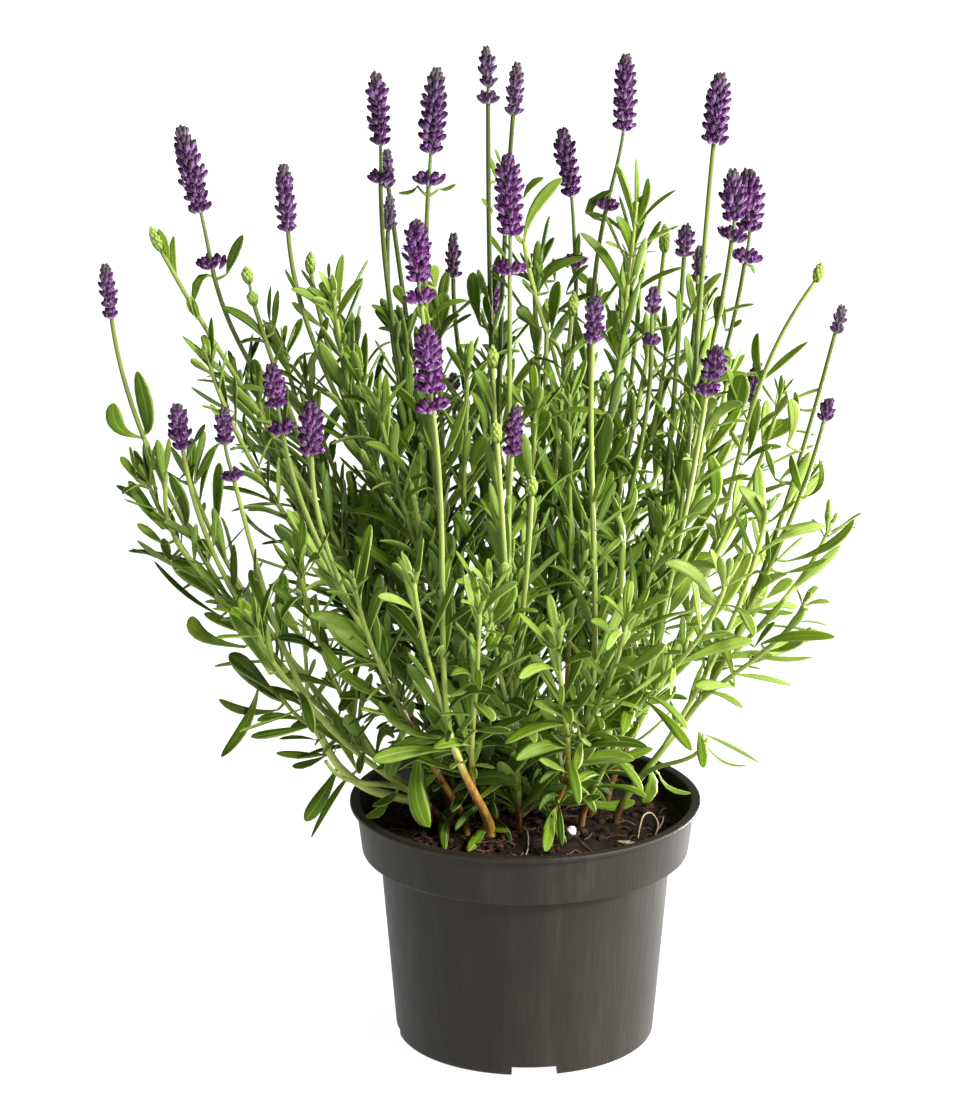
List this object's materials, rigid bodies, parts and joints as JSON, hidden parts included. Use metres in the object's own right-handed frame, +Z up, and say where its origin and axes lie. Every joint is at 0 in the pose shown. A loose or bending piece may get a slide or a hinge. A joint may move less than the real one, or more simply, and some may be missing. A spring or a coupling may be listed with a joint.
{
  "type": "potted lavender",
  "caption": "Flowering lavender bush with narrow leaves and upright flower spikes on bare stalks, growing in soil in a round plastic nursery pot with a stepped collar; stands on any flat surface",
  "frame": {"origin": "middle of the pot's underside, on the surface that the pot stands on", "axes": "+Z up along the pot's axis, -Y the front that the picture shows, +X to its right"},
  "size_m": [0.3669, 0.2919, 0.478],
  "materials": {
    "pot_plastic": "satin dark warm grey moulded plastic with faint upright streaks",
    "peat": "damp dark brown peat with fibres and crumbs",
    "perlite": "rough off-white expanded grain",
    "foliage": "matt green leaves and yellow-green stalks with a fine down and grey-green edges",
    "florets": "velvety violet petals in darker purple calyces with grey-green tips"
  },
  "bodies": {
    "root": {"pot": "pot_plastic", "soil": "peat", "perlite_grain": "perlite", "stem_far_left": "foliage", "stem_left_front": "foliage", "stem_left_middle": "foliage", "stem_left_back": "foliage", "stem_left_inner": "foliage", "stem_front_left": "foliage", "stem_front": "foliage", "stem_middle_left_back": "foliage", "stem_middle_left": "foliage", "stem_middle_back": "foliage", "stem_middle_front": "foliage", "stem_middle": "foliage", "stem_middle_right": "foliage", "stem_front_right": "foliage", "stem_right_inner": "foliage", "stem_right_front": "foliage", "stem_right_middle": "foliage", "stem_far_right": "foliage", "stem_right_back": "foliage", "stem_back_right": "foliage", "stem_back_left": "foliage", "spike_far_left": "florets", "spike_low_left": "florets", "spike_left_front": "florets", "spike_tall_left": "florets", "spike_left_inner": "florets", "spike_front_left_a": "florets", "spike_front_left_b": "florets", "spike_front": "florets", "spike_tall_b": "florets", "spike_dark_high": "florets", "spike_dark_low": "florets", "spike_hidden_left": "florets", "spike_tall_c": "florets", "spike_middle_left": "florets", "spike_tall_d": "florets", "spike_tall_e": "florets", "spike_dark_middle": "florets", "spike_hidden_middle": "florets", "spike_centre": "florets", "spike_half_hidden": "florets", "spike_tall_f": "florets", "spike_tall_g": "florets", "spike_front_right": "florets", "spike_two_tier": "florets", "spike_tall_h": "florets", "spike_right_front": "florets", "spike_pair_left": "florets", "spike_pair_right": "florets", "spike_small_a": "florets", "spike_small_b": "florets", "spike_far_right_low": "florets", "spike_far_right_high": "florets", "spike_back_right": "florets", "spike_back_a": "florets", "spike_back_b": "florets", "spike_back_c": "florets"}
  },
  "joints": []
}
